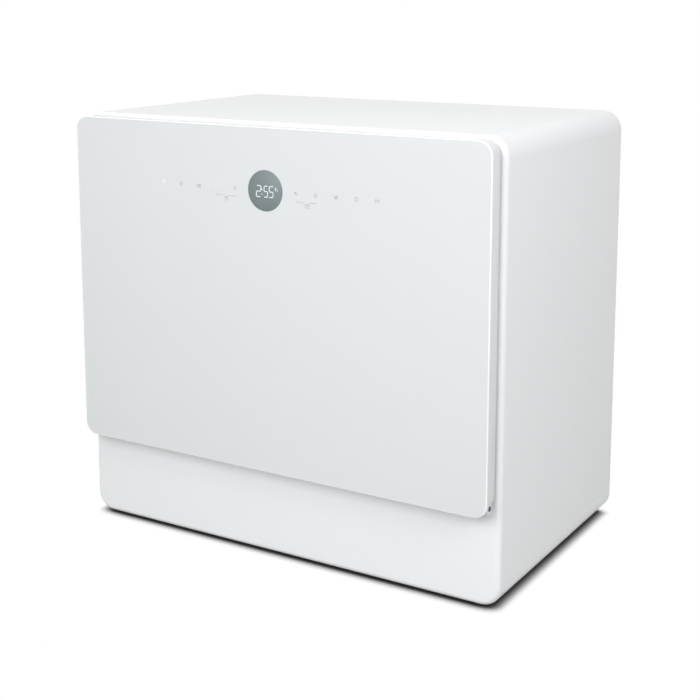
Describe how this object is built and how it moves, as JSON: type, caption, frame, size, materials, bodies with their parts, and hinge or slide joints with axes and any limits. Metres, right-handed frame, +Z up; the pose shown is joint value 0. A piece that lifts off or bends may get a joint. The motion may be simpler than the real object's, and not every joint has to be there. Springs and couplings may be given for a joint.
{
  "type": "tabletop dishwasher",
  "caption": "Tabletop dishwasher with a drop-down glass door, round display, steel tub, sliding wire rack with cutlery basket, rotating spray arm and water parts in the base.",
  "frame": {"origin": "centre of the footprint, on the floor under the feet", "axes": "+X to the right of the front, -Y out of the front door, +Z up"},
  "size_m": [0.484, 0.305, 0.44],
  "materials": {
    "white_shell": "white gloss",
    "base_plastic": "dark grey moulded",
    "grey_sheet": "light grey paint",
    "foot_rubber": "black rubber",
    "tub_steel": "satin stainless",
    "seal_rubber": "grey rubber",
    "light_plastic": "light grey moulded",
    "grey_plastic": "grey moulded",
    "cup_plastic": "mid grey moulded",
    "arm_steel": "satin stainless",
    "white_plastic": "white moulded",
    "motor_steel": "dark coated steel",
    "rotor_plastic": "blue grey moulded",
    "heater_steel": "plain steel",
    "hose_rubber": "black rubber",
    "drain_rubber": "grey rubber",
    "module_plastic": "cream moulded",
    "inlet_plastic": "black moulded",
    "bracket_steel": "zinc plated",
    "mat_felt": "dark felt",
    "screw_steel": "plated",
    "door_glass": "white backed glass",
    "door_plastic": "white moulded",
    "liner_steel": "satin stainless",
    "board": "green board",
    "display": "grey green display",
    "rack_wire": "nylon coated wire",
    "wheel_plastic": "grey moulded",
    "basket_plastic": "grey moulded"
  },
  "bodies": {
    "body": {"outer_case": "white_shell", "front_frame": "white_shell", "base_tray": "base_plastic", "back_cover": "grey_sheet", "back_pockets": "grey_sheet", "feet": "foot_rubber", "tub": "tub_steel", "tub_back": "tub_steel", "tub_gasket": "seal_rubber", "rails": "light_plastic", "sump": "grey_plastic", "filter_plate": "tub_steel", "spray_riser": "light_plastic", "arm_nut": "cup_plastic", "float_guide": "light_plastic", "salt_container": "white_plastic", "pump_housing": "grey_plastic", "pump_motor": "motor_steel", "drain_pump": "grey_plastic", "heater": "heater_steel", "base_hoses": "hose_rubber", "drain_hose": "drain_rubber", "drain_spigot": "light_plastic", "inlet_valve": "white_plastic", "fill_hose": "light_plastic", "air_break": "white_plastic", "power_module": "module_plastic", "power_inlet": "inlet_plastic", "side_supports": "bracket_steel", "door_hinges": "bracket_steel", "sound_mat": "mat_felt", "lock_housing": "base_plastic", "back_screws": "screw_steel"},
    "door": {"door_glass": "door_glass", "door_frame": "door_plastic", "door_liner": "liner_steel", "control_board": "board", "display_module": "display", "dispenser_body": "light_plastic", "door_tongue": "bracket_steel"},
    "rack": {"rack_floor": "rack_wire", "rack_ends": "rack_wire", "rack_sides": "rack_wire", "plate_spines": "rack_wire", "wheel_clips": "wheel_plastic"},
    "wheel_fl": {"wheel_fl": "wheel_plastic"},
    "wheel_fr": {"wheel_fr": "wheel_plastic"},
    "wheel_rl": {"wheel_rl": "wheel_plastic"},
    "wheel_rr": {"wheel_rr": "wheel_plastic"},
    "basket": {"cutlery_basket": "basket_plastic"},
    "cup_shelf": {"cup_shelf": "rack_wire"},
    "spray_arm": {"spray_arm": "arm_steel"},
    "filter_cup": {"filter_cup": "cup_plastic"},
    "float": {"float": "white_plastic"},
    "salt_cap": {"salt_cap": "cup_plastic"},
    "pump_rotor": {"pump_impeller": "rotor_plastic"},
    "drain_rotor": {"drain_impeller": "rotor_plastic"},
    "catch_roller": {"catch_roller": "white_plastic"},
    "dispenser_lid": {"dispenser_lid": "cup_plastic"},
    "rinse_cap": {"rinse_cap": "cup_plastic"}
  },
  "joints": [
    {"name": "door_hinge", "type": "hinge", "parent": "body", "child": "door", "pos_m": [0, -0.1405, 0.102], "axis": [1, 0, 0], "range_deg": [0, 90]},
    {"name": "rack_slide", "type": "slide", "parent": "body", "child": "rack", "axis": [0, -1, 0], "range_m": [0, 0.12]},
    {"name": "wheel_fl_spin", "type": "hinge", "parent": "rack", "child": "wheel_fl", "pos_m": [-0.205, -0.02117, 0.1358], "axis": [1, 0, 0], "continuous": true},
    {"name": "wheel_fr_spin", "type": "hinge", "parent": "rack", "child": "wheel_fr", "pos_m": [0.205, -0.02117, 0.1358], "axis": [1, 0, 0], "continuous": true},
    {"name": "wheel_rl_spin", "type": "hinge", "parent": "rack", "child": "wheel_rl", "pos_m": [-0.205, 0.1015, 0.1358], "axis": [1, 0, 0], "continuous": true},
    {"name": "wheel_rr_spin", "type": "hinge", "parent": "rack", "child": "wheel_rr", "pos_m": [0.205, 0.1015, 0.1358], "axis": [1, 0, 0], "continuous": true},
    {"name": "basket_lift", "type": "slide", "parent": "rack", "child": "basket", "axis": [0, 0, 1], "range_m": [0, 0.08]},
    {"name": "cup_shelf_fold", "type": "hinge", "parent": "rack", "child": "cup_shelf", "pos_m": [-0.189, 0.0095, 0.238], "axis": [0, 1, 0], "range_deg": [0, 88]},
    {"name": "spray_arm_spin", "type": "hinge", "parent": "body", "child": "spray_arm", "pos_m": [0, 0.0045, 0.131], "axis": [0, 0, 1], "continuous": true},
    {"name": "filter_twist", "type": "hinge", "parent": "body", "child": "filter_cup", "pos_m": [0.074, 0.0045, 0.116], "axis": [0, 0, 1], "range_deg": [0, 60]},
    {"name": "float_lift", "type": "slide", "parent": "body", "child": "float", "axis": [0, 0, 1], "range_m": [0, 0.006]},
    {"name": "salt_cap_turn", "type": "hinge", "parent": "body", "child": "salt_cap", "pos_m": [0.16, -0.0485, 0.121], "axis": [0, 0, 1], "range_deg": [0, 180]},
    {"name": "pump_spin", "type": "hinge", "parent": "body", "child": "pump_rotor", "pos_m": [-0.1, -0.0035, 0.0765], "axis": [1, 0, 0], "continuous": true},
    {"name": "drain_spin", "type": "hinge", "parent": "body", "child": "drain_rotor", "pos_m": [0.14, 0.0245, 0.074], "axis": [1, 0, 0], "continuous": true},
    {"name": "catch_roller_spin", "type": "hinge", "parent": "body", "child": "catch_roller", "pos_m": [0, -0.1045, 0.4228], "axis": [1, 0, 0], "continuous": true},
    {"name": "dispenser_lid_slide", "type": "slide", "parent": "door", "child": "dispenser_lid", "axis": [1, 0, 0], "range_m": [0, 0.058]},
    {"name": "rinse_cap_turn", "type": "hinge", "parent": "door", "child": "rinse_cap", "pos_m": [0.066, -0.1245, 0.2655], "axis": [0, 1, 0], "range_deg": [0, 90]}
  ],
  "couplings": [
    {"joint": "rack_slide", "follows": "door_hinge", "m_per_rad": 0.0763},
    {"joint": "wheel_fl_spin", "follows": "door_hinge", "ratio": 7.63},
    {"joint": "wheel_fr_spin", "follows": "door_hinge", "ratio": 7.63},
    {"joint": "wheel_rl_spin", "follows": "door_hinge", "ratio": 7.63},
    {"joint": "wheel_rr_spin", "follows": "door_hinge", "ratio": 7.63}
  ]
}
